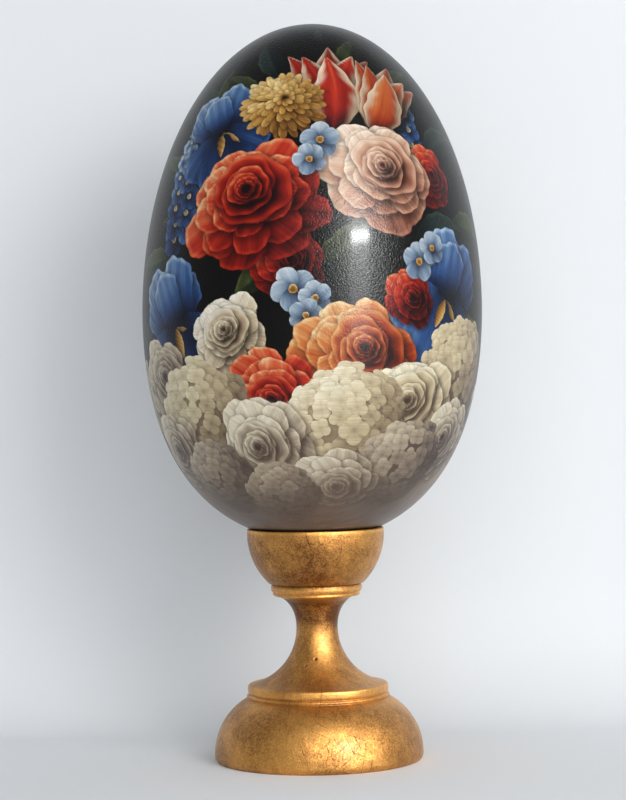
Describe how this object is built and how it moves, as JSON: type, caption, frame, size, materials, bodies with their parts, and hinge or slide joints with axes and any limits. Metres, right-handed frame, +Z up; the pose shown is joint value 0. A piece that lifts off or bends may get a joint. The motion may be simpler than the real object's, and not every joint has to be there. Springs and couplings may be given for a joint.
{
  "type": "painted egg on a stand",
  "caption": "Large turned wooden egg with an oil-painted floral picture, resting in a turned and gilded egg cup with a domed foot.",
  "frame": {"origin": "centre of the foot's flat underside, on the stand's turning axis", "axes": "+Z up along the stand's turning axis, the picture faces -Y, +X to the viewer's right"},
  "size_m": [0.1248, 0.1248, 0.2702],
  "materials": {
    "oil_paint": "oil paint on a dark ground over a turned wooden egg, varnished to a soft gloss, with a coloured picture on the front",
    "gold_leaf": "gold leaf on turned wood, crackled and rubbed to brown in places"
  },
  "bodies": {
    "root": {"painted_egg": "oil_paint", "gilded_stand": "gold_leaf"}
  },
  "joints": []
}
